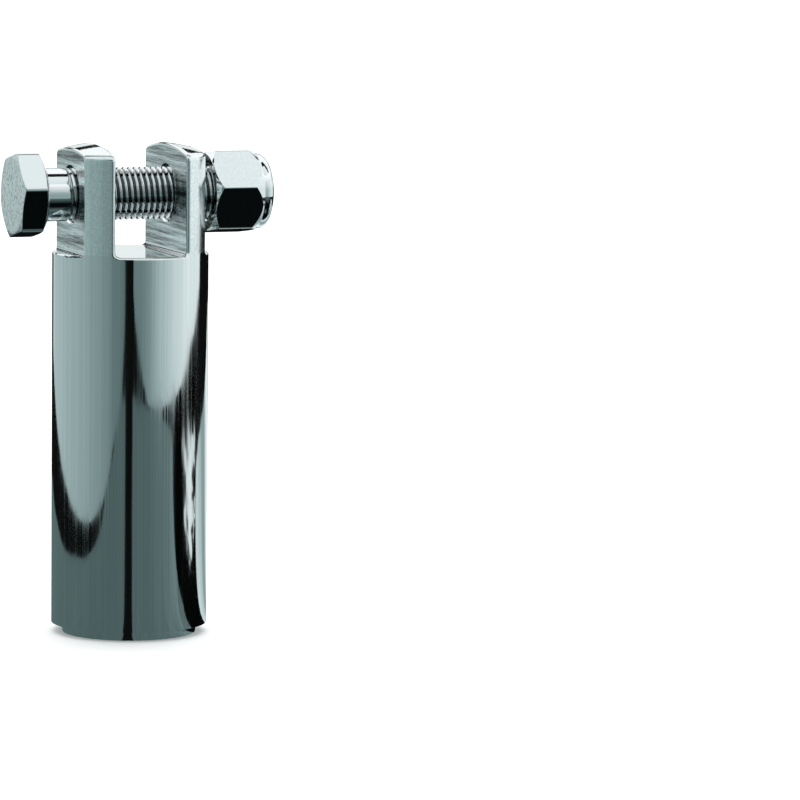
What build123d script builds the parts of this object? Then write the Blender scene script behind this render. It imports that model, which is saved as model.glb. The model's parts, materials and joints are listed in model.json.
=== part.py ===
"""Folding foot peg: a solid round bar with a clevis end, its pivot bolt and its lock nut.

The peg stands on its outer end. Z runs along the bar towards the clevis, and X runs
along the pivot bolt, from the bolt's head (-X) to the nut (+X). The origin is the
centre of the outer end face. All lengths are in millimetres.
"""
from build123d import *
from math import cos, radians, tan
import os

# ---- Driving dimensions: bar ----
bar_diameter = 28.0
spigot_diameter = 24.0  # the stepped outer end, a little smaller than the bar
spigot_height = 1.7
spigot_edge = 0.35
rim_edge = 0.6  # rounded lower rim of the full-size bar
crown_height = 88.6  # where the crowned tip would meet the bar's axis
crown_radius = 50.0
crown_edge = 1.3

# ---- Driving dimensions: clevis ----
slot_width = 13.2
across_ears = 22.6  # over the two milled outer flats
slot_floor_height = 68.7  # the slot's floor and the flats' shoulders are level
slot_corner = 0.8
shoulder_corner = 0.4
pivot_height = 79.1
bolt_hole_diameter = 10.0
hole_edge = 0.3
ear_edge = 0.5  # buffed vertical edges of the ears

# ---- Driving dimensions: 3/8-24 bolt, with a plain cylinder for its thread ----
hex_across_flats = 14.1
head_corner_rounding = 1.0
head_face_diameter = 13.5  # the flat circle inside the outer face's chamfer
head_chamfer_angle = 14
head_under_diameter = 13.9  # the underside's chamfer starts here
head_under_angle = 20
thread_diameter = 9.44
shank_diameter = 9.5
bolt_length = 41.3  # under the head
plain_shank_length = 4.6
head_height = 4.7
head_turn = 17.7  # degrees from a corner straight up
head_seat_x = -17.1  # the bearing face at rest, clear of the ear
washer_face_height = 0.35
washer_face_diameter = 13.3
bolt_end_chamfer = 0.9

# ---- Driving dimensions: nylon-insert lock nut ----
nut_seat_x = 13.95  # the bearing face at rest, clear of the ear
nut_height = 11.3
nut_hex_height = 9.25
nut_corner_rounding = 0.4
nut_face_diameter = 13.76
nut_seat_chamfer_angle = 41
nut_end_chamfer_angle = 57  # a steep cone that runs into the collar
nut_turn = 20.5  # degrees from a corner straight up
nut_bore_clearance = 0.05
nut_countersink = 0.5
collar_diameter = 13.6
collar_edge = 1.6  # the crimped end is a dome
collar_lip = 0.55  # crimped metal beyond the insert
collar_mouth_diameter = 10.5
insert_diameter = 11.6
insert_height = 2.5
insert_clearance = 0.03

# ---- Worked out from the driving dimensions ----
bar_radius = bar_diameter / 2
spigot_radius = spigot_diameter / 2
cutter_reach = bar_diameter
hex_corner_radius = hex_across_flats / 2 / cos(radians(30))
head_face_radius = head_face_diameter / 2
head_chamfer_depth = (hex_corner_radius - head_face_radius) * tan(radians(head_chamfer_angle))
head_under_radius = head_under_diameter / 2
head_under_depth = (hex_corner_radius - head_under_radius) * tan(radians(head_under_angle))
shank_radius = shank_diameter / 2
thread_radius = thread_diameter / 2
washer_face_radius = washer_face_diameter / 2
head_top_x = head_seat_x - washer_face_height - head_height
thread_start_x = head_seat_x + plain_shank_length
bolt_end_x = head_seat_x + bolt_length
nut_hex_end_x = nut_seat_x + nut_hex_height
nut_end_x = nut_seat_x + nut_height
nut_bore_radius = thread_radius + nut_bore_clearance
collar_radius = collar_diameter / 2
nut_face_radius = nut_face_diameter / 2
nut_seat_chamfer = (hex_corner_radius - nut_face_radius) * tan(radians(nut_seat_chamfer_angle))
nut_end_chamfer = (hex_corner_radius - collar_radius) * tan(radians(nut_end_chamfer_angle))
recess_end_x = nut_end_x - collar_lip
recess_start_x = recess_end_x - insert_height - 2 * insert_clearance
recess_radius = insert_diameter / 2 + insert_clearance

# across the bolt: local X is the bar's Y, local Y is up, and the normal is the bolt's axis
pivot_plane = Plane(origin=(0, 0, pivot_height), x_dir=(0, 1, 0), z_dir=(1, 0, 0))
# through the bolt's axis: local X runs along the bolt and local Y away from its axis
turning_plane = Plane(origin=(0, 0, pivot_height), x_dir=(1, 0, 0), z_dir=(0, -1, 0))
pivot_axis = Axis((0, 0, pivot_height), (1, 0, 0))


# ---- Bar: turned, slotted, milled flat on both sides, cross-drilled and buffed ----
with BuildPart() as peg_barrel:
    with BuildSketch(Plane.XZ) as half_section:
        with BuildLine():
            outline = Polyline(
                (0, crown_height),
                (0, 0),
                (spigot_radius, 0),
                (spigot_radius, spigot_height),
                (bar_radius, spigot_height),
                (bar_radius, crown_height - crown_radius + (crown_radius**2 - bar_radius**2) ** 0.5),
            )
            RadiusArc(outline @ 1, outline @ 0, -crown_radius)
        make_face()
        corners = half_section.vertices()
        fillet(corners.sort_by_distance((bar_radius, crown_height))[0], crown_edge)
        fillet(corners.sort_by_distance((bar_radius, spigot_height))[0], rim_edge)
        fillet(corners.sort_by_distance((spigot_radius, 0))[0], spigot_edge)
    revolve(axis=Axis.Z)

    slot_top = crown_height + bar_radius
    with BuildSketch(Plane.XZ) as slot_section:
        with Locations((0, slot_floor_height)):
            Rectangle(slot_width, slot_top - slot_floor_height, align=(Align.CENTER, Align.MIN))
        fillet(slot_section.vertices().group_by(Axis.Z)[0], slot_corner)
    extrude(amount=cutter_reach, both=True, mode=Mode.SUBTRACT)

    with BuildSketch(Plane.XZ) as flat_section:
        with Locations((across_ears / 2, slot_floor_height)):
            Rectangle(bar_diameter, slot_top - slot_floor_height, align=(Align.MIN, Align.MIN))
        fillet(
            flat_section.vertices().sort_by_distance((across_ears / 2, 0, slot_floor_height))[0],
            shoulder_corner,
        )
        mirror(about=Plane.YZ)
    extrude(amount=cutter_reach, both=True, mode=Mode.SUBTRACT)

    ear_edges = peg_barrel.edges().filter_by(Axis.Z).filter_by_position(
        Axis.Z, slot_floor_height, crown_height
    )
    fillet(ear_edges, ear_edge)

    with BuildSketch(pivot_plane):
        Circle(bolt_hole_diameter / 2)
    extrude(amount=cutter_reach, both=True, mode=Mode.SUBTRACT)
    hole_rims = peg_barrel.edges().filter_by(GeomType.CIRCLE).filter_by(
        lambda edge: abs(edge.radius - bolt_hole_diameter / 2) < 0.01
    )
    chamfer(hole_rims, hole_edge)
peg_barrel.part.label = "peg_barrel"


# ---- Bolt: a chamfered hex head, a washer face, a short plain shank and the thread ----
with BuildPart() as pivot_bolt:
    with BuildSketch(pivot_plane.offset(head_top_x)) as head_hex:
        RegularPolygon(hex_across_flats / 2, 6, major_radius=False, rotation=30 + head_turn)
        fillet(head_hex.vertices(), head_corner_rounding)
    extrude(amount=head_height)
    with BuildSketch(turning_plane):
        with BuildLine():
            Polyline(
                (head_top_x, 0),
                (head_top_x, head_face_radius),
                (head_top_x + head_chamfer_depth, hex_corner_radius),
                (head_top_x + head_height - head_under_depth, hex_corner_radius),
                (head_top_x + head_height, head_under_radius),
                (head_top_x + head_height, 0),
                close=True,
            )
        make_face()
    revolve(axis=pivot_axis, mode=Mode.INTERSECT)
    with BuildSketch(turning_plane):
        with BuildLine():
            Polyline(
                (head_top_x + head_height, 0),
                (head_top_x + head_height, washer_face_radius),
                (head_seat_x, washer_face_radius),
                (head_seat_x, shank_radius),
                (thread_start_x, shank_radius),
                (thread_start_x, thread_radius),
                (bolt_end_x - bolt_end_chamfer, thread_radius),
                (bolt_end_x, thread_radius - bolt_end_chamfer),
                (bolt_end_x, 0),
                close=True,
            )
        make_face()
    revolve(axis=pivot_axis)
pivot_bolt.part.label = "pivot_bolt"


# ---- Nut: a hex chamfered at both ends and a collar crimped over the insert ----
with BuildPart() as lock_nut_shell:
    with BuildSketch(pivot_plane.offset(nut_seat_x)) as nut_hex:
        RegularPolygon(hex_across_flats / 2, 6, major_radius=False, rotation=30 + nut_turn)
        fillet(nut_hex.vertices(), nut_corner_rounding)
    extrude(amount=nut_hex_height)
    with BuildSketch(turning_plane):
        with BuildLine():
            Polyline(
                (nut_seat_x, 0),
                (nut_seat_x, nut_face_radius),
                (nut_seat_x + nut_seat_chamfer, hex_corner_radius),
                (nut_hex_end_x - nut_end_chamfer, hex_corner_radius),
                (nut_hex_end_x, collar_radius),
                (nut_hex_end_x, 0),
                close=True,
            )
        make_face()
    revolve(axis=pivot_axis, mode=Mode.INTERSECT)
    with BuildSketch(turning_plane) as collar_section:
        with BuildLine():
            Polyline(
                (nut_seat_x, 0),
                (nut_seat_x, collar_mouth_diameter / 2),
                (nut_hex_end_x, collar_radius),
                (nut_end_x, collar_radius),
                (nut_end_x, 0),
                close=True,
            )
        make_face()
        collar_corner = Vector(nut_end_x, 0, pivot_height + collar_radius)
        fillet(collar_section.vertices().sort_by_distance(collar_corner)[0], collar_edge)
    revolve(axis=pivot_axis)
    with BuildSketch(turning_plane):
        with BuildLine():
            Polyline(
                (nut_seat_x, 0),
                (nut_seat_x, nut_bore_radius + nut_countersink),
                (nut_seat_x + nut_countersink, nut_bore_radius),
                (recess_start_x, nut_bore_radius),
                (recess_start_x, recess_radius),
                (recess_end_x, recess_radius),
                (recess_end_x, collar_mouth_diameter / 2),
                (nut_end_x, collar_mouth_diameter / 2),
                (nut_end_x, 0),
                close=True,
            )
        make_face()
    revolve(axis=pivot_axis, mode=Mode.SUBTRACT)
lock_nut_shell.part.label = "lock_nut_shell"


# ---- Insert: the nylon ring inside the nut's collar ----
with BuildPart() as nylon_insert:
    with BuildSketch(pivot_plane.offset(recess_start_x + insert_clearance)):
        Circle(insert_diameter / 2)
        Circle(thread_radius + insert_clearance, mode=Mode.SUBTRACT)
    extrude(amount=insert_height)
nylon_insert.part.label = "nylon_insert"


# ---- One STEP file for each piece ----
os.makedirs("parts", exist_ok=True)
export_step(peg_barrel.part, "parts/peg_barrel.step")
export_step(pivot_bolt.part, "parts/pivot_bolt.step")
export_step(lock_nut_shell.part, "parts/lock_nut_shell.step")
export_step(nylon_insert.part, "parts/nylon_insert.step")
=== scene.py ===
"""Chromed folding foot peg with its pivot bolt and lock nut, in a small product studio.

The peg stands on its outer end at the origin. Z runs up the barrel and X along the bolt,
from the bolt's head (-X) to the nut (+X). All lengths are in metres.

The barrel is the CAD node itself. The bolt, the nut and its nylon insert are replaced by
meshes with real helical threads. The chrome sees only a studio of glowing cards, glowing fans and a
rippled glow that paint reflections, and the floor sees only a white world and one soft light.
"""

import json
import math

import bmesh
import bpy
from mathutils import Matrix, Vector


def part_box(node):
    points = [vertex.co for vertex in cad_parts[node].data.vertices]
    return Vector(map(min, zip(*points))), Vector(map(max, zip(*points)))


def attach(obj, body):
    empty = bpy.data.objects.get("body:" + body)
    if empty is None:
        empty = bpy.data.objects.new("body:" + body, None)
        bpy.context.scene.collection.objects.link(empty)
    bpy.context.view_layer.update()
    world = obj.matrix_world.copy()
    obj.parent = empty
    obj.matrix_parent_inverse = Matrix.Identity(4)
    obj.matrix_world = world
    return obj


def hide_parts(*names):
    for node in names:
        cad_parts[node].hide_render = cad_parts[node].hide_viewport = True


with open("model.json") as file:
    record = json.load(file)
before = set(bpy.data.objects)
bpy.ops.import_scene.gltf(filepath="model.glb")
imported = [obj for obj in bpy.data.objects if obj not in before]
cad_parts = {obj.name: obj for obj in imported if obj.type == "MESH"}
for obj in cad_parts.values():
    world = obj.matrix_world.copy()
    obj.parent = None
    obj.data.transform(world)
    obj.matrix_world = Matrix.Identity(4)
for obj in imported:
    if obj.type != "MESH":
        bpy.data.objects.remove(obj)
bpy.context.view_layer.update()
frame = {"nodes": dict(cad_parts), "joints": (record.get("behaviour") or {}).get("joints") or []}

MM = 0.001

# ---- Camera ----
CAMERA_PLACE = (-0.27837, -0.85594, 0.15050)
CAMERA_HEADING = 21.110  # degrees from +Y towards +X
CAMERA_PITCH = -6.860
CAMERA_ROLL = 0.636
CAMERA_LENS = 226.58  # on a 36 mm sensor

# ---- Places and sizes that come from the frame ----
PIVOT = Vector(next(j["pos_m"] for j in frame["joints"] if j["name"] == "bolt_turn"))
BOLT_LOW, BOLT_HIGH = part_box("pivot_bolt")
NUT_LOW, NUT_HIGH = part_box("lock_nut_shell")
INSERT_LOW, INSERT_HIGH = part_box("nylon_insert")
BARREL_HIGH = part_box("peg_barrel")[1]
EARS_FROM = BARREL_HIGH.z - 19.084 * MM  # just above the slot's floor

# ---- Hardware: a 3/8-24 bolt and a nylon-insert lock nut ----
HEX_FLAT = 7.05 * MM  # from the axis to a flat
SKIN_GAP = 0.004 * MM  # keeps a mesh just inside its CAD node's box
THREAD_PITCH = 25.4 * MM / 24
THREAD_RADIUS = 4.72 * MM
THREAD_DEPTH = 0.613 * THREAD_PITCH
SHANK_RADIUS = 4.75 * MM
HEAD_TURN = math.radians(17.7)
HEAD_ROUNDING = 1.0 * MM
HEAD_HEIGHT = 4.7 * MM
HEAD_FACE_RADIUS = 6.75 * MM  # the flat circle inside the outer face's chamfer
HEAD_FACE_SLOPE = math.tan(math.radians(14))
HEAD_UNDER_RADIUS = 6.95 * MM  # where the underside's chamfer starts
HEAD_UNDER_SLOPE = math.tan(math.radians(20))
WASHER_FACE_HEIGHT = 0.35 * MM
WASHER_FACE_RADIUS = 6.65 * MM
PLAIN_SHANK = 4.6 * MM
TIP_CHAMFER = 0.9 * MM
NUT_TURN = math.radians(20.5)
NUT_ROUNDING = 0.4 * MM
NUT_HEX_HEIGHT = 9.25 * MM
NUT_FACE_RADIUS = 6.88 * MM
NUT_SEAT_SLOPE = math.tan(math.radians(41))
NUT_END_SLOPE = math.tan(math.radians(57))
NUT_COUNTERSINK = 0.5 * MM
NUT_BORE = 4.77 * MM
NUT_GROOVE = 0.45 * MM
COLLAR_RADIUS = 6.8 * MM
COLLAR_DOME = 1.6 * MM
COLLAR_MOUTH = 5.25 * MM
RECESS_RADIUS = 5.83 * MM
RECESS_GAP = 0.03 * MM  # past each face of the insert
INSERT_RADIUS = 5.78 * MM
INSERT_BORE = 4.76 * MM
INSERT_EDGE = 0.18 * MM
INSERT_MARK = 0.10 * MM  # how deep the bolt's thread has marked the nylon

# a thread's section as (share of a pitch, share of its depth), from crest to crest
THREAD_SECTION = [
    (0.00, 0.10), (0.06, 0.0), (0.19, 0.0), (0.25, 0.10), (0.55, 0.9), (0.62, 1.0), (0.73, 1.0), (0.80, 0.9),
]

# ---- Finish ----
CHROME_TINT = (0.74, 0.80, 0.81)


def linear(tone):
    """The linear value of a display tone from 0 to 1."""
    return ((tone + 0.055) / 1.055) ** 2.4


def studio_colour(tone):
    """A card's colour: cool in the middle tones and near neutral in the bright ones."""
    red = 0.58 + 0.39 * tone**2
    level = linear(tone) * 1.06 / 0.80
    return (level * red / 0.925, level, level)


# ---- Mesh helpers ----
def mesh_object(name, points, faces):
    """An object in the scene with these points and faces."""
    mesh = bpy.data.meshes.new(name)
    mesh.from_pydata(points, [], faces)
    thing = bpy.data.objects.new(name, mesh)
    bpy.context.scene.collection.objects.link(thing)
    return thing


def object_from_bmesh(name, bm):
    """An object in the scene with this mesh, joined where its skins meet, and shaded smooth."""
    mesh = bpy.data.meshes.new(name)
    bmesh.ops.remove_doubles(bm, verts=bm.verts, dist=0.0002 * MM)
    bmesh.ops.dissolve_degenerate(bm, edges=bm.edges, dist=0.0002 * MM)
    bmesh.ops.recalc_face_normals(bm, faces=bm.faces)
    for face in bm.faces:
        face.smooth = True
    bm.to_mesh(mesh)
    bm.free()
    thing = bpy.data.objects.new(name, mesh)
    bpy.context.scene.collection.objects.link(thing)
    even_normals = thing.modifiers.new("even_normals", "WEIGHTED_NORMAL")
    even_normals.keep_sharp = True
    return thing


def on_bolt_axis(x, radius, angle):
    """A point at this x and radius, turned by angle from straight up, right-handed about +X."""
    return (x, PIVOT.y - radius * math.sin(angle), PIVOT.z + radius * math.cos(angle))


def hex_corner(rounding):
    """How far out a rounded hex corner's centre is, and half the angle that its arc takes."""
    centre = (HEX_FLAT - rounding) / math.cos(math.radians(30))
    edge = math.atan2(rounding / 2, centre + rounding * math.cos(math.radians(30)))
    return centre, edge


def hex_columns(turn, rounding):
    """Angles for a hex: close together over each rounded corner, and even along each flat."""
    edge = hex_corner(rounding)[1]
    angles = []
    for corner in range(6):
        middle = turn + math.radians(60) * corner
        angles += [middle + edge * share for share in (-1, -0.6, -0.2, 0.2, 0.6, 1)]
        flat = math.radians(60) - 2 * edge
        angles += [middle + edge + flat * (i + 1) / 11 for i in range(10)]
    return angles


def hex_radius(angle, turn, rounding):
    """How far a hex with rounded corners reaches at this angle."""
    off_corner = abs((angle - turn + math.radians(30)) % math.radians(60) - math.radians(30))
    centre, edge = hex_corner(rounding)
    if off_corner < edge:
        return centre * math.cos(off_corner) + math.sqrt(rounding**2 - (centre * math.sin(off_corner)) ** 2)
    return HEX_FLAT / math.cos(math.radians(30) - off_corner)


def rounded(corners, steps=3):
    """A section's points from (x, radius, rounding) corners, with an arc at each rounded corner."""
    points = []
    for i, (x, r, rounding) in enumerate(corners):
        here = Vector((x, r))
        if rounding == 0:
            points.append(here)
            continue
        before = (Vector(corners[i - 1][:2]) - here).normalized()
        after = (Vector(corners[i + 1][:2]) - here).normalized()
        half = before.angle(after) / 2
        reach = rounding / math.tan(half)
        centre = here + (before + after).normalized() * (rounding / math.sin(half))
        start = here + before * reach - centre
        end = here + after * reach - centre
        for step in range(steps + 1):
            points.append(centre + start.slerp(end, step / steps) * rounding)
    return points


def add_turned(bm, angles, section):
    """A skin of columns round the bolt's axis. section(angle) gives a column's (x, radius) points."""
    columns = []
    for angle in angles:
        columns.append([bm.verts.new(on_bolt_axis(x, r, angle)) for x, r in section(angle)])
    for j, column in enumerate(columns):
        beside = columns[(j + 1) % len(columns)]
        for i in range(len(column) - 1):
            bm.faces.new((column[i], beside[i], beside[i + 1], column[i + 1]))


def add_thread(bm, angles, start, end, radius_at):
    """A helical thread skin from start to end. radius_at(x, depth_share) gives its radius."""
    turns = math.ceil((end - start) / THREAD_PITCH) + 2
    rows = [(turn + share, depth) for turn in range(turns) for share, depth in THREAD_SECTION]
    columns = []
    for angle in angles:
        lead = (angle - angles[0]) / math.tau
        column = []
        for place, depth in rows:
            x = min(max(start + (place + lead - 1.5) * THREAD_PITCH, start), end)
            column.append(bm.verts.new(on_bolt_axis(x, radius_at(x, depth), angle)))
        columns.append(column)
    for j in range(len(columns)):
        column = columns[j]
        last = j == len(columns) - 1
        beside = columns[0] if last else columns[j + 1]
        shift = len(THREAD_SECTION) if last else 0
        for i in range(len(rows) - 1 - shift):
            corners = (column[i], beside[i + shift], beside[i + 1 + shift], column[i + 1])
            if len({tuple(v.co) for v in corners}) > 2:
                bm.faces.new(corners)


def smooth_step(value):
    """An even S-shaped rise from 0 at 0 to 1 at 1."""
    value = min(max(value, 0), 1)
    return value * value * (3 - 2 * value)


# ---- Node helpers ----
def new_material(name):
    """A material and its node tree."""
    material = bpy.data.materials.new(name)
    material.use_nodes = True
    return material, material.node_tree


def object_place(tree):
    """The point on the object's surface, in the object's own coordinates."""
    return tree.nodes.new("ShaderNodeTexCoord").outputs["Object"]


def axes_of(tree, vector):
    """A vector's X, Y and Z."""
    node = tree.nodes.new("ShaderNodeSeparateXYZ")
    tree.links.new(vector, node.inputs["Vector"])
    return node.outputs


def surface_normal(tree):
    """The X, Y and Z of the way that the surface faces."""
    return axes_of(tree, tree.nodes.new("ShaderNodeNewGeometry").outputs["Normal"])


def noise(tree, vector, detail, roughness, distortion=0.0):
    """Noise from 0 to 1 at this vector."""
    node = tree.nodes.new("ShaderNodeTexNoise")
    node.inputs["Scale"].default_value = 1.0
    node.inputs["Detail"].default_value = detail
    node.inputs["Roughness"].default_value = roughness
    node.inputs["Distortion"].default_value = distortion
    tree.links.new(vector, node.inputs["Vector"])
    return node.outputs["Fac"]


def stretched_noise(tree, scale, detail=3.0, roughness=0.6):
    """Noise in the object's own coordinates, with its own scale along X, Y and Z, per metre."""
    stretch = tree.nodes.new("ShaderNodeMapping")
    stretch.inputs["Scale"].default_value = scale
    tree.links.new(object_place(tree), stretch.inputs["Vector"])
    return noise(tree, stretch.outputs["Vector"], detail, roughness)


def remap(tree, value, low, high, to_low, to_high):
    """The value taken from the range low to high into the range to_low to to_high, and clamped."""
    node = tree.nodes.new("ShaderNodeMapRange")
    for socket, number in zip(("From Min", "From Max", "To Min", "To Max"), (low, high, to_low, to_high)):
        node.inputs[socket].default_value = number
    tree.links.new(value, node.inputs["Value"])
    return node.outputs["Result"]


def maths(tree, operation, first, second=0):
    node = tree.nodes.new("ShaderNodeMath")
    node.operation = operation
    for socket, value in zip(node.inputs, (first, second)):
        if isinstance(value, (int, float)):
            socket.default_value = value
        else:
            tree.links.new(value, socket)
    return node.outputs[0]


def off_pivot_axis(tree):
    """How far the surface is from the bolt's axis."""
    y = maths(tree, "SUBTRACT", axes_of(tree, object_place(tree))["Y"], PIVOT.y)
    z = maths(tree, "SUBTRACT", axes_of(tree, object_place(tree))["Z"], PIVOT.z)
    squares = maths(tree, "ADD", maths(tree, "MULTIPLY", y, y), maths(tree, "MULTIPLY", z, z))
    return maths(tree, "SQRT", squares)


def bump(tree, height, strength, distance, under=None):
    """The normal of a surface with this height on it, over an earlier bump if there is one."""
    node = tree.nodes.new("ShaderNodeBump")
    node.inputs["Distance"].default_value = distance
    tree.links.new(height, node.inputs["Height"])
    if isinstance(strength, (int, float)):
        node.inputs["Strength"].default_value = strength
    else:
        tree.links.new(strength, node.inputs["Strength"])
    if under is not None:
        tree.links.new(under, node.inputs["Normal"])
    return node.outputs["Normal"]


def chrome_shader(tree, roughness):
    """The chrome's metal, with this roughness value or texture."""
    shader = tree.nodes["Principled BSDF"]
    shader.inputs["Base Color"].default_value = (*CHROME_TINT, 1)
    shader.inputs["Metallic"].default_value = 1.0
    if isinstance(roughness, (int, float)):
        shader.inputs["Roughness"].default_value = roughness
    else:
        tree.links.new(roughness, shader.inputs["Roughness"])
    return shader


# ---- Materials ----
def shade(tree, shader, brightness):
    """Multiply the chrome's tint by a brightness."""
    scale = tree.nodes.new("ShaderNodeVectorMath")
    scale.operation = "SCALE"
    scale.inputs[0].default_value = CHROME_TINT
    tree.links.new(brightness, scale.inputs["Scale"])
    tree.links.new(scale.outputs["Vector"], shader.inputs["Base Color"])


def where(tree, mask, value):
    """The value where the mask is 1, and no change (1) where it is 0."""
    rest = maths(tree, "SUBTRACT", 1.0, mask)
    return maths(tree, "ADD", maths(tree, "MULTIPLY", mask, value), rest)


def barrel_chrome():
    """Chrome over a turned bar: polished round the barrel, satin ears, and milled slot and flats."""
    square_to_x = 0.995  # a normal's X on a flat or a slot wall
    tilted_up = 0.25  # a normal's Z where the crown starts
    material, tree = new_material("barrel_chrome")
    facing = surface_normal(tree)
    on_ears = maths(tree, "GREATER_THAN", axes_of(tree, object_place(tree))["Z"], EARS_FROM)
    sideways = maths(tree, "GREATER_THAN", maths(tree, "ABSOLUTE", facing["X"]), square_to_x)
    upright = maths(tree, "LESS_THAN", facing["Z"], tilted_up)
    milled = maths(tree, "MULTIPLY", sideways, on_ears)
    not_milled = maths(tree, "SUBTRACT", 1.0, milled)
    satin = maths(tree, "MULTIPLY", maths(tree, "MULTIPLY", on_ears, upright), not_milled)
    # milling marks run along Y on the flats and on the slot's walls
    marks = stretched_noise(tree, (300, 22, 760), detail=5.0, roughness=0.75)
    grain = stretched_noise(tree, (2200, 2200, 2200), detail=4.0, roughness=0.7)
    brushed = stretched_noise(tree, (2400, 2400, 7), detail=4.0, roughness=0.75)
    roughness = remap(tree, brushed, 0.35, 0.68, 0.02, 0.11)
    roughness = maths(tree, "ADD", roughness, maths(tree, "MULTIPLY", satin, 0.10))
    roughness = maths(tree, "ADD", roughness, maths(tree, "MULTIPLY", milled, 0.12))
    shader = chrome_shader(tree, roughness)
    streak_light = where(tree, milled, remap(tree, marks, 0.40, 0.58, 0.08, 1.12))
    grain_light = where(tree, satin, remap(tree, grain, 0.35, 0.65, 0.98, 1.22))
    brushed_light = remap(tree, brushed, 0.35, 0.65, 0.90, 1.06)
    brightness = maths(tree, "MULTIPLY", maths(tree, "MULTIPLY", streak_light, grain_light), brushed_light)
    shade(tree, shader, brightness)
    normal = bump(tree, brushed, 0.12, 0.02 * MM)
    normal = bump(tree, grain, maths(tree, "MULTIPLY", satin, 0.12), 0.08 * MM, normal)
    normal = bump(tree, marks, maths(tree, "MULTIPLY", milled, 0.9), 0.20 * MM, normal)
    tree.links.new(normal, shader.inputs["Normal"])
    return material


def bolt_plating():
    """Bright plating, with a grainy satin outer face on the head, and painted shade down in the thread."""
    facing_out = -0.9  # a normal's X on the head's outer face
    facing_along = 0.95  # the size of a normal's X on either end of the bolt
    root, crest = 4.15 * MM, 4.60 * MM
    material, tree = new_material("bolt_plating")
    facing = surface_normal(tree)
    outer_face = maths(tree, "LESS_THAN", facing["X"], facing_out)
    grain = stretched_noise(tree, (1500, 1500, 1500), detail=5.0, roughness=0.8)
    drawn = stretched_noise(tree, (120, 2500, 2500), detail=3.0)
    roughness = remap(tree, drawn, 0.3, 0.7, 0.05, 0.11)
    roughness = maths(tree, "ADD", roughness, maths(tree, "MULTIPLY", outer_face, 0.25))
    shader = chrome_shader(tree, roughness)
    # painted shade: the colour darkens from each crest down to the thread's root, to stand in for the shade
    # there; the bolt's flat ends keep their full colour
    root_shade = remap(tree, off_pivot_axis(tree), root, crest, 0.12, 1.0)
    flat_end = maths(tree, "GREATER_THAN", maths(tree, "ABSOLUTE", facing["X"]), facing_along)
    painted_shade = maths(tree, "MAXIMUM", root_shade, flat_end)
    speckle = where(tree, outer_face, remap(tree, grain, 0.38, 0.62, 0.55, 1.70))
    shade(tree, shader, maths(tree, "MULTIPLY", painted_shade, speckle))
    normal = bump(tree, drawn, 0.08, 0.03 * MM)
    normal = bump(tree, grain, maths(tree, "MULTIPLY", outer_face, 0.6), 0.12 * MM, normal)
    tree.links.new(normal, shader.inputs["Normal"])
    return material


def nut_plating():
    """Bright plating with a fine even grain."""
    material, tree = new_material("nut_plating")
    grain = stretched_noise(tree, (1800, 1800, 1800), detail=3.0)
    roughness = remap(tree, grain, 0.3, 0.7, 0.04, 0.10)
    shader = chrome_shader(tree, roughness)
    shade(tree, shader, remap(tree, grain, 0.35, 0.65, 0.96, 1.03))
    tree.links.new(bump(tree, grain, 0.08, 0.05 * MM), shader.inputs["Normal"])
    return material


def nylon():
    """Off-white nylon, a little translucent and faintly mottled."""
    material, tree = new_material("nylon")
    shader = tree.nodes["Principled BSDF"]
    shader.inputs["Roughness"].default_value = 0.42
    shader.inputs["Subsurface Weight"].default_value = 0.15
    shader.inputs["Subsurface Radius"].default_value = (0.5 * MM, 0.4 * MM, 0.3 * MM)
    speckle = stretched_noise(tree, (900, 900, 900), detail=3.0)
    ramp = tree.nodes.new("ShaderNodeValToRGB")
    ramp.color_ramp.elements[0].color = (0.60, 0.60, 0.55, 1)
    ramp.color_ramp.elements[1].color = (0.74, 0.74, 0.69, 1)
    tree.links.new(speckle, ramp.inputs["Fac"])
    tree.links.new(ramp.outputs["Color"], shader.inputs["Base Color"])
    tree.links.new(bump(tree, speckle, 0.2, 0.05 * MM), shader.inputs["Normal"])
    return material


# ---- The bolt, the nut and the insert ----
def build_bolt():
    """The hex head with its washer face, the plain shank and the threaded end, as one skin."""
    top = BOLT_LOW.x
    under = top + HEAD_HEIGHT
    seat = under + WASHER_FACE_HEIGHT
    thread_start = seat + PLAIN_SHANK
    end = BOLT_HIGH.x
    edge = 0.16 * MM
    shank = SHANK_RADIUS - SKIN_GAP

    def section(angle):
        reach = hex_radius(angle, HEAD_TURN, HEAD_ROUNDING) - SKIN_GAP
        top_depth = (reach - HEAD_FACE_RADIUS) * HEAD_FACE_SLOPE
        under_depth = (reach - HEAD_UNDER_RADIUS) * HEAD_UNDER_SLOPE
        return rounded([
            (top, 0, 0),
            (top, HEAD_FACE_RADIUS, 0.5 * MM),
            (top + top_depth, reach, edge),
            (under - under_depth - 0.05 * MM, reach, edge),
            (under, HEAD_UNDER_RADIUS - 0.1 * MM, 0),
            (under, WASHER_FACE_RADIUS, 0),
            (seat, WASHER_FACE_RADIUS - 0.05 * MM, 0.10 * MM),
            (seat, SHANK_RADIUS + 0.01 * MM, 0.30 * MM),
            (seat + 0.6 * MM, shank, 0),
            (thread_start - 0.3 * MM, shank, 0),
            (thread_start, THREAD_RADIUS, 0),
        ])

    def thread_radius(x, depth):
        run_out = smooth_step((x - thread_start) / (1.3 * THREAD_PITCH))
        cut = THREAD_RADIUS - THREAD_DEPTH * depth * run_out
        return min(cut, THREAD_RADIUS - (x - (end - TIP_CHAMFER)))

    bm = bmesh.new()
    angles = hex_columns(HEAD_TURN, HEAD_ROUNDING)
    add_turned(bm, angles, section)
    add_thread(bm, angles, thread_start, end, thread_radius)
    tip = THREAD_RADIUS - TIP_CHAMFER
    add_turned(bm, angles, lambda angle: [(end, tip), (end, tip / 2), (end, 0)])
    bolt = object_from_bmesh("hex_bolt", bm)
    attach(bolt, "bolt")
    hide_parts("pivot_bolt")
    return bolt


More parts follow.
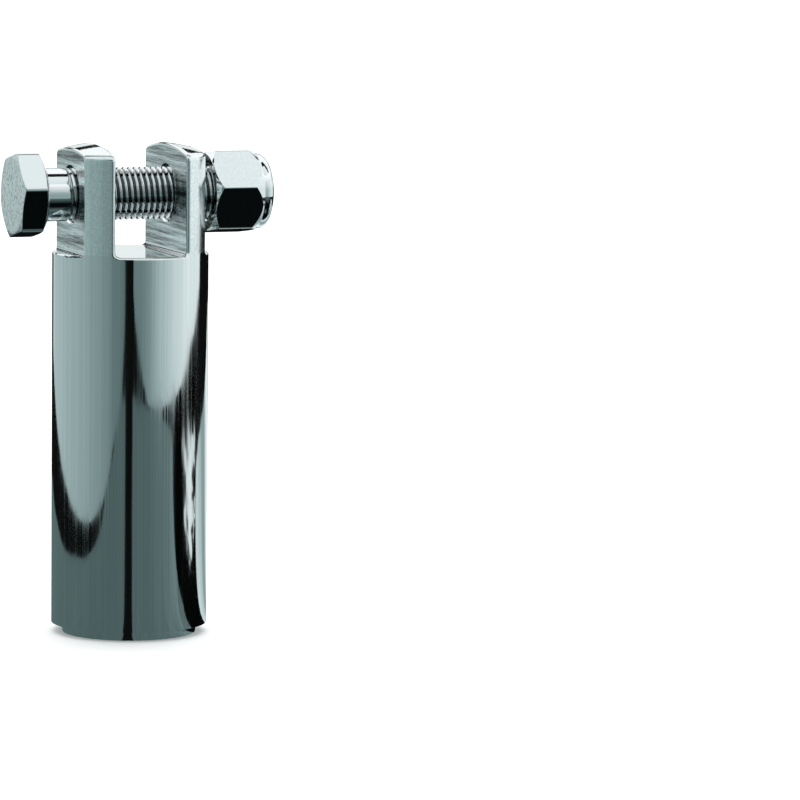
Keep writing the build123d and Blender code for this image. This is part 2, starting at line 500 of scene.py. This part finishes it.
def build_nut():
    """The hex with both chamfers, the domed collar, the insert's recess and the threaded bore."""
    seat, end = NUT_LOW.x, NUT_HIGH.x
    hex_end = seat + NUT_HEX_HEIGHT
    thread_start = seat + NUT_COUNTERSINK
    recess_end = INSERT_HIGH.x + RECESS_GAP
    recess_start = INSERT_LOW.x - RECESS_GAP
    collar = COLLAR_RADIUS - 0.01 * MM

    def dome_point(angle):
        """A point on the collar's quarter-round end, from its side (0) to its face (90 degrees)."""
        x = end - COLLAR_DOME * (1 - math.sin(angle))
        return Vector((x, collar - COLLAR_DOME * (1 - math.cos(angle))))

    def section(angle):
        reach = hex_radius(angle, NUT_TURN, NUT_ROUNDING) - SKIN_GAP
        seat_chamfer = (reach - NUT_FACE_RADIUS) * NUT_SEAT_SLOPE
        end_chamfer = (reach - COLLAR_RADIUS) * NUT_END_SLOPE
        outside = rounded([
            (thread_start, NUT_BORE, 0),
            (seat, NUT_BORE + NUT_COUNTERSINK, 0.08 * MM),
            (seat, NUT_FACE_RADIUS, 0.08 * MM),
            (seat + seat_chamfer, reach, 0.12 * MM),
            (hex_end - end_chamfer, reach, 0.14 * MM),
            (hex_end - 0.05 * MM, COLLAR_RADIUS - 0.02 * MM, 0.12 * MM),
            (hex_end + 0.42 * MM, collar, 0),
        ])
        dome = [dome_point(math.radians(15 * step)) for step in range(7)]
        inside = rounded([
            (end - 0.001 * MM, COLLAR_MOUTH - 0.06 * MM, 0),
            (end - 0.12 * MM, COLLAR_MOUTH, 0),
            (recess_end, COLLAR_MOUTH + 0.02 * MM, 0.05 * MM),
            (recess_end, RECESS_RADIUS, 0),
            (recess_start, RECESS_RADIUS, 0),
            (recess_start, NUT_BORE, 0),
        ])
        return outside + dome + inside

    def groove_radius(x, depth):
        fade = smooth_step(min(x - thread_start, recess_start - x) / (0.6 * THREAD_PITCH))
        return NUT_BORE + NUT_GROOVE * depth * fade

    bm = bmesh.new()
    angles = hex_columns(NUT_TURN, NUT_ROUNDING)
    add_turned(bm, angles, section)
    add_thread(bm, angles, thread_start, recess_start, groove_radius)
    nut = object_from_bmesh("lock_nut", bm)
    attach(nut, "nut")
    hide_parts("lock_nut_shell")
    return nut


def build_insert():
    """The nylon ring, with the bolt's thread marked in its bore."""
    low, high = INSERT_LOW.x, INSERT_HIGH.x
    bore_start, bore_end = low + INSERT_EDGE, high - INSERT_EDGE

    def section(angle):
        return rounded([
            (bore_start, INSERT_BORE, 0),
            (low, INSERT_BORE + INSERT_EDGE, 0.08 * MM),
            (low, INSERT_RADIUS, 0.10 * MM),
            (high, INSERT_RADIUS, 0.10 * MM),
            (high, INSERT_BORE + INSERT_EDGE, 0.08 * MM),
            (bore_end, INSERT_BORE, 0),
        ])

    def marked_radius(x, depth):
        fade = smooth_step(min(x - bore_start, bore_end - x) / (0.4 * THREAD_PITCH))
        return INSERT_BORE + INSERT_MARK * depth * fade

    bm = bmesh.new()
    columns = 96
    angles = [math.tau * i / columns for i in range(columns)]
    add_turned(bm, angles, section)
    add_thread(bm, angles, bore_start, bore_end, marked_radius)
    ring = object_from_bmesh("nylon_ring", bm)
    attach(ring, "nut_carrier")
    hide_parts("nylon_insert")
    return ring


# ---- Studio: cards that only the chrome sees ----
def only_in_reflections(thing):
    """Hide a card from the camera and from the pale floor's soft light."""
    thing.visible_camera = False
    thing.visible_diffuse = False
    thing.visible_transmission = False
    thing.visible_volume_scatter = False
    thing.visible_shadow = False


def glow_material(name, low_angle_only):
    """A glow in the colour that the card's own points carry.

    With low_angle_only it is a painted reflection of dark gloss: bright at a low angle, darker as that
    grows, and lit again where it is seen from straight above.
    """
    material, tree = new_material(name)
    tree.nodes.clear()
    read = tree.nodes.new("ShaderNodeAttribute")
    read.attribute_name = "glow"
    glow = tree.nodes.new("ShaderNodeEmission")
    out = tree.nodes.new("ShaderNodeOutputMaterial")
    tree.links.new(read.outputs["Color"], glow.inputs["Color"])
    tree.links.new(glow.outputs["Emission"], out.inputs["Surface"])
    if low_angle_only:
        facing = tree.nodes.new("ShaderNodeLayerWeight")
        facing.inputs["Blend"].default_value = 0.5
        grazing = remap(tree, facing.outputs["Facing"], 0.47, 0.80, 0.02, 1.0)
        straight_down = remap(tree, facing.outputs["Facing"], 0.12, 0.26, 0.9, 0.0)
        tree.links.new(maths(tree, "MAXIMUM", grazing, straight_down), glow.inputs["Strength"])
    return material


def card(name, points, tones, faces, low_angle_only=False):
    """A glowing card with a display tone from 0 to 1 at each point."""
    thing = mesh_object(name, points, faces)
    colours = thing.data.attributes.new("glow", "FLOAT_COLOR", "POINT")
    for entry, tone in zip(colours.data, tones):
        entry.color = (*studio_colour(tone), 1)
    thing.data.materials.append(glow_material(name, low_angle_only))
    only_in_reflections(thing)


def standing_card(name, stations, levels, foot_heights=()):
    """A card that stands along (x, y, tone) stations. Each (height, lift) level adds lift to the tones.

    foot_heights raises the card's lower edge at its first stations.
    """
    points, tones = [], []
    for i, (x, y, tone) in enumerate(stations):
        foot = foot_heights[i] if i < len(foot_heights) else 0
        for height, lift in levels:
            points.append((x, y, max(height, foot)))
            tones.append(min(tone + lift, 1.0))
    rows = len(levels)
    faces = []
    for i in range(len(stations) - 1):
        for k in range(rows - 1):
            a = i * rows + k
            faces.append((a, a + rows, a + rows + 1, a + 1))
    card(name, points, tones, faces)


def cross_card(name, edges):
    """A card between two (distance, height, tone) edges that run across the view.

    Distances are measured along the view, from the gap that gives the shank its dark line.
    """
    gap = Vector((0.201, 0.056))
    half_width = 1.2
    view = math.radians(CAMERA_HEADING)
    heading = Vector((math.sin(view), math.cos(view)))
    side = Vector((heading.y, -heading.x))
    points, tones = [], []
    for distance, height, tone in edges:
        for reach in (-half_width, half_width):
            points.append((*(gap + heading * distance + side * reach), height))
            tones.append(tone)
    card(name, points, tones, [(0, 1, 3, 2)])


def table_reflection_fan(name, stations, low_angle_only=True):
    """A glowing fan from the peg out to (azimuth, reach, tone) stations: a painted reflection of the table
    and what lies on it, which only the chrome sees.

    Azimuths are in degrees from +Y towards +X. With low_angle_only off it glows evenly.
    """
    inner = 4.0 * MM
    points, tones = [], []
    for azimuth, reach, tone in stations:
        x, y = math.sin(math.radians(azimuth)), math.cos(math.radians(azimuth))
        points += [(inner * x, inner * y, 0.0), (reach * x, reach * y, 0.0)]
        tones += [tone, tone]
    faces = [(2 * i, 2 * i + 1, 2 * i + 3, 2 * i + 2) for i in range(len(stations) - 1)]
    card(name, points, tones, faces, low_angle_only)


def rippled_reflection_glow():
    """A rippled bright glow lying right of the peg, which only the chrome sees: a painted reflection of a
    bright wavy band there.
    """
    outline = [(0.012, 0.0), (0.012, -0.012), (0.27, -0.20), (0.40, -0.10), (0.42, 0.02), (0.10, 0.008)]
    glow_sheet = mesh_object("rippled_reflection_glow", [(x, y, 0.0) for x, y in outline], [tuple(range(len(outline)))])
    material, tree = new_material("rippled_reflection_glow")
    tree.nodes.clear()
    place = axes_of(tree, object_place(tree))
    slope = maths(tree, "DIVIDE", place["Y"], place["X"])
    polar = tree.nodes.new("ShaderNodeCombineXYZ")
    tree.links.new(maths(tree, "MULTIPLY", slope, 5.0), polar.inputs["X"])
    tree.links.new(maths(tree, "MULTIPLY", place["X"], 26.0), polar.inputs["Y"])
    ripple = noise(tree, polar.outputs["Vector"], detail=3.0, roughness=0.55, distortion=1.2)
    # painted reflection: the glow is brightest a little in front of +X and fades at its near and far ends
    ridge = maths(tree, "ABSOLUTE", maths(tree, "ADD", slope, 0.17))
    falling = remap(tree, ridge, 0.0, 0.50, 0.17, -0.24)
    near = remap(tree, place["X"], 0.07, 0.15, -0.30, 0.0)
    far = remap(tree, place["X"], 0.29, 0.36, 0.0, -0.4)
    ends = maths(tree, "ADD", near, far)
    total = maths(tree, "ADD", maths(tree, "ADD", ripple, falling), ends)
    glow = tree.nodes.new("ShaderNodeEmission")
    red, green, blue = studio_colour(0.86)
    glow.inputs["Color"].default_value = (red / green, 1, blue / green, 1)
    level = remap(tree, total, 0.50, 0.57, linear(0.02), green)
    out = tree.nodes.new("ShaderNodeOutputMaterial")
    tree.links.new(level, glow.inputs["Strength"])
    tree.links.new(glow.outputs["Emission"], out.inputs["Surface"])
    glow_sheet.data.materials.append(material)
    only_in_reflections(glow_sheet)


def build_studio():
    """Glowing fans that paint the reflection of the table round the peg, the side cards, and the cards
    behind, over and in front of it.
    """
    # painted reflection: these glowing fans stand in for the table and what lies on it, as the chrome shows
    # them
    table_reflection_fan(
        "painted_reflection_left",
        [
            (-155.8, 0.380, 0.36), (-147.5, 0.385, 0.36), (-128.4, 0.211, 0.36), (-121.6, 0.152, 0.365),
            (-113.0, 0.128, 0.37), (-97.9, 0.109, 0.38), (-79.4, 0.109, 0.38), (-54.8, 0.115, 0.385),
            (-35.6, 0.143, 0.39), (-8.5, 0.203, 0.39), (2.0, 0.22, 0.38),
        ],
    )
    table_reflection_fan(
        "painted_reflection_behind",
        [(2.0, 0.14, 0.38), (10.0, 0.13, 0.46), (20.0, 0.12, 0.52), (30.0, 0.13, 0.40)],
        low_angle_only=False,
    )
    table_reflection_fan(
        "painted_reflection_right",
        [
            (194.0, 0.385, 0.37), (180.0, 0.370, 0.375), (165.0, 0.350, 0.39), (150.0, 0.335, 0.42),
            (139.0, 0.320, 0.44), (133.5, 0.300, 0.48), (121.0, 0.050, 0.46),
        ],
    )
    table_reflection_fan(
        "painted_reflection_far_right",
        [
            (86.0, 0.134, 0.84), (84.0, 0.240, 0.80), (76.0, 0.290, 0.74), (66.0, 0.325, 0.58),
            (57.0, 0.356, 0.58), (48.0, 0.430, 0.86), (36.0, 0.600, 0.90), (30.0, 0.600, 0.30),
        ],
        low_angle_only=False,
    )
    # painted reflection: a rippled glow for the bright wavy band right of the peg
    rippled_reflection_glow()
    standing_card(
        "left_card",
        [
            (-0.161, -0.344, 0.40), (-0.173, -0.337, 0.41), (-0.191, -0.328, 0.42), (-0.191, -0.214, 0.45),
            (-0.157, -0.101, 0.53), (-0.154, -0.04, 0.58), (-0.160, 0.01, 0.62),
            (-0.174, 0.11, 0.66), (-0.160, 0.227, 0.69), (-0.122, 0.334, 0.69), (-0.082, 0.422, 0.74),
            (-0.060, 0.480, 0.80),
        ],
        [(0.0, 0), (0.10, 0), (0.17, 0.1)],
        foot_heights=(0.022, 0.007),
    )
    standing_card(
        "right_card",
        [
            (-0.092, -0.389, 0.47), (-0.072, -0.394, 0.46), (-0.016, -0.390, 0.46), (0.053, -0.36, 0.53),
            (0.142, -0.327, 0.66), (0.213, -0.292, 0.73), (0.284, -0.243, 0.79), (0.354, -0.187, 0.84),
            (0.472, -0.078, 0.87), (0.577, 0.078, 0.87), (0.637, 0.172, 0.87),
        ],
        [(0.0, 0), (0.09, 0), (0.45, 0.4)],
        foot_heights=(0.024, 0.016, 0.006),
    )
    # the gap between the back card and the overhead card is the dark streak on the crown
    cross_card("back_card", [(0.65, 0.12, 0.87), (0.65, 0.265, 0.87)])
    cross_card("overhead_card", [(0.11, 0.70, 0.97), (0.95, 0.47, 0.94)])
    cross_card("front_card", [(-0.08, 0.70, 0.91), (-0.65, 0.46, 0.84)])


def build_floor():
    """The plain pale floor, which the chrome doesn't see."""
    half = 12.0
    corners = [(-half, -half, 0), (half, -half, 0), (half, half, 0), (-half, half, 0)]
    floor = mesh_object("floor", corners, [(0, 1, 2, 3)])
    material, tree = new_material("pale_floor")
    shader = tree.nodes["Principled BSDF"]
    shader.inputs["Base Color"].default_value = (0.92, 0.92, 0.92, 1)
    shader.inputs["Roughness"].default_value = 0.9
    shader.inputs["Specular IOR Level"].default_value = 0.0
    shader.inputs["Emission Color"].default_value = (0.93, 1.0, 1.0, 1)
    shader.inputs["Emission Strength"].default_value = 0.18
    floor.data.materials.append(material)
    floor.visible_glossy = False


def build_world():
    """White light all round for the floor and the nylon, and a dark dome for the chrome."""
    world = bpy.data.worlds.new("studio")
    world.use_nodes = True
    background = world.node_tree.nodes["Background"]
    background.inputs["Color"].default_value = (1, 1, 1, 1)
    background.inputs["Strength"].default_value = 0.85
    bpy.context.scene.world = world
    # a dark dome that only the chrome sees keeps the white world out of its reflections
    bpy.ops.mesh.primitive_ico_sphere_add(subdivisions=4, radius=10.0)
    dome = bpy.context.object
    dome.name = "dark_dome"
    material, tree = new_material("dark_dome")
    tree.nodes.clear()
    glow = tree.nodes.new("ShaderNodeEmission")
    glow.inputs["Strength"].default_value = linear(0.06)
    out = tree.nodes.new("ShaderNodeOutputMaterial")
    tree.links.new(glow.outputs["Emission"], out.inputs["Surface"])
    dome.data.materials.append(material)
    only_in_reflections(dome)


def build_soft_light():
    """A wide light high behind the peg, which leaves a faint shadow in front of its foot."""
    light = bpy.data.lights.new("soft_light", "SUN")
    light.energy = 1.9
    light.angle = math.radians(70)
    thing = bpy.data.objects.new("soft_light", light)
    off_vertical = math.radians(38)
    thing.rotation_euler = (-off_vertical, 0, math.radians(-CAMERA_HEADING))
    thing.visible_glossy = False
    bpy.context.scene.collection.objects.link(thing)


def build_camera():
    camera_data = bpy.data.cameras.new("camera")
    camera_data.lens = CAMERA_LENS
    camera_data.sensor_width = 36
    camera_data.clip_start = 0.05
    camera_data.clip_end = 60
    camera = bpy.data.objects.new("camera", camera_data)
    turn = (
        Matrix.Rotation(math.radians(-CAMERA_HEADING), 4, "Z")
        @ Matrix.Rotation(math.radians(90 + CAMERA_PITCH), 4, "X")
        @ Matrix.Rotation(math.radians(CAMERA_ROLL), 4, "Z")
    )
    camera.matrix_world = Matrix.Translation(CAMERA_PLACE) @ turn
    bpy.context.scene.collection.objects.link(camera)
    bpy.context.scene.camera = camera


bpy.context.scene.view_settings.view_transform = "Standard"
build_camera()
build_world()
build_soft_light()
build_floor()
build_studio()

barrel = frame["nodes"]["peg_barrel"]
barrel.data.materials.clear()
barrel.data.materials.append(barrel_chrome())
build_bolt().data.materials.append(bolt_plating())
build_nut().data.materials.append(nut_plating())
build_insert().data.materials.append(nylon())
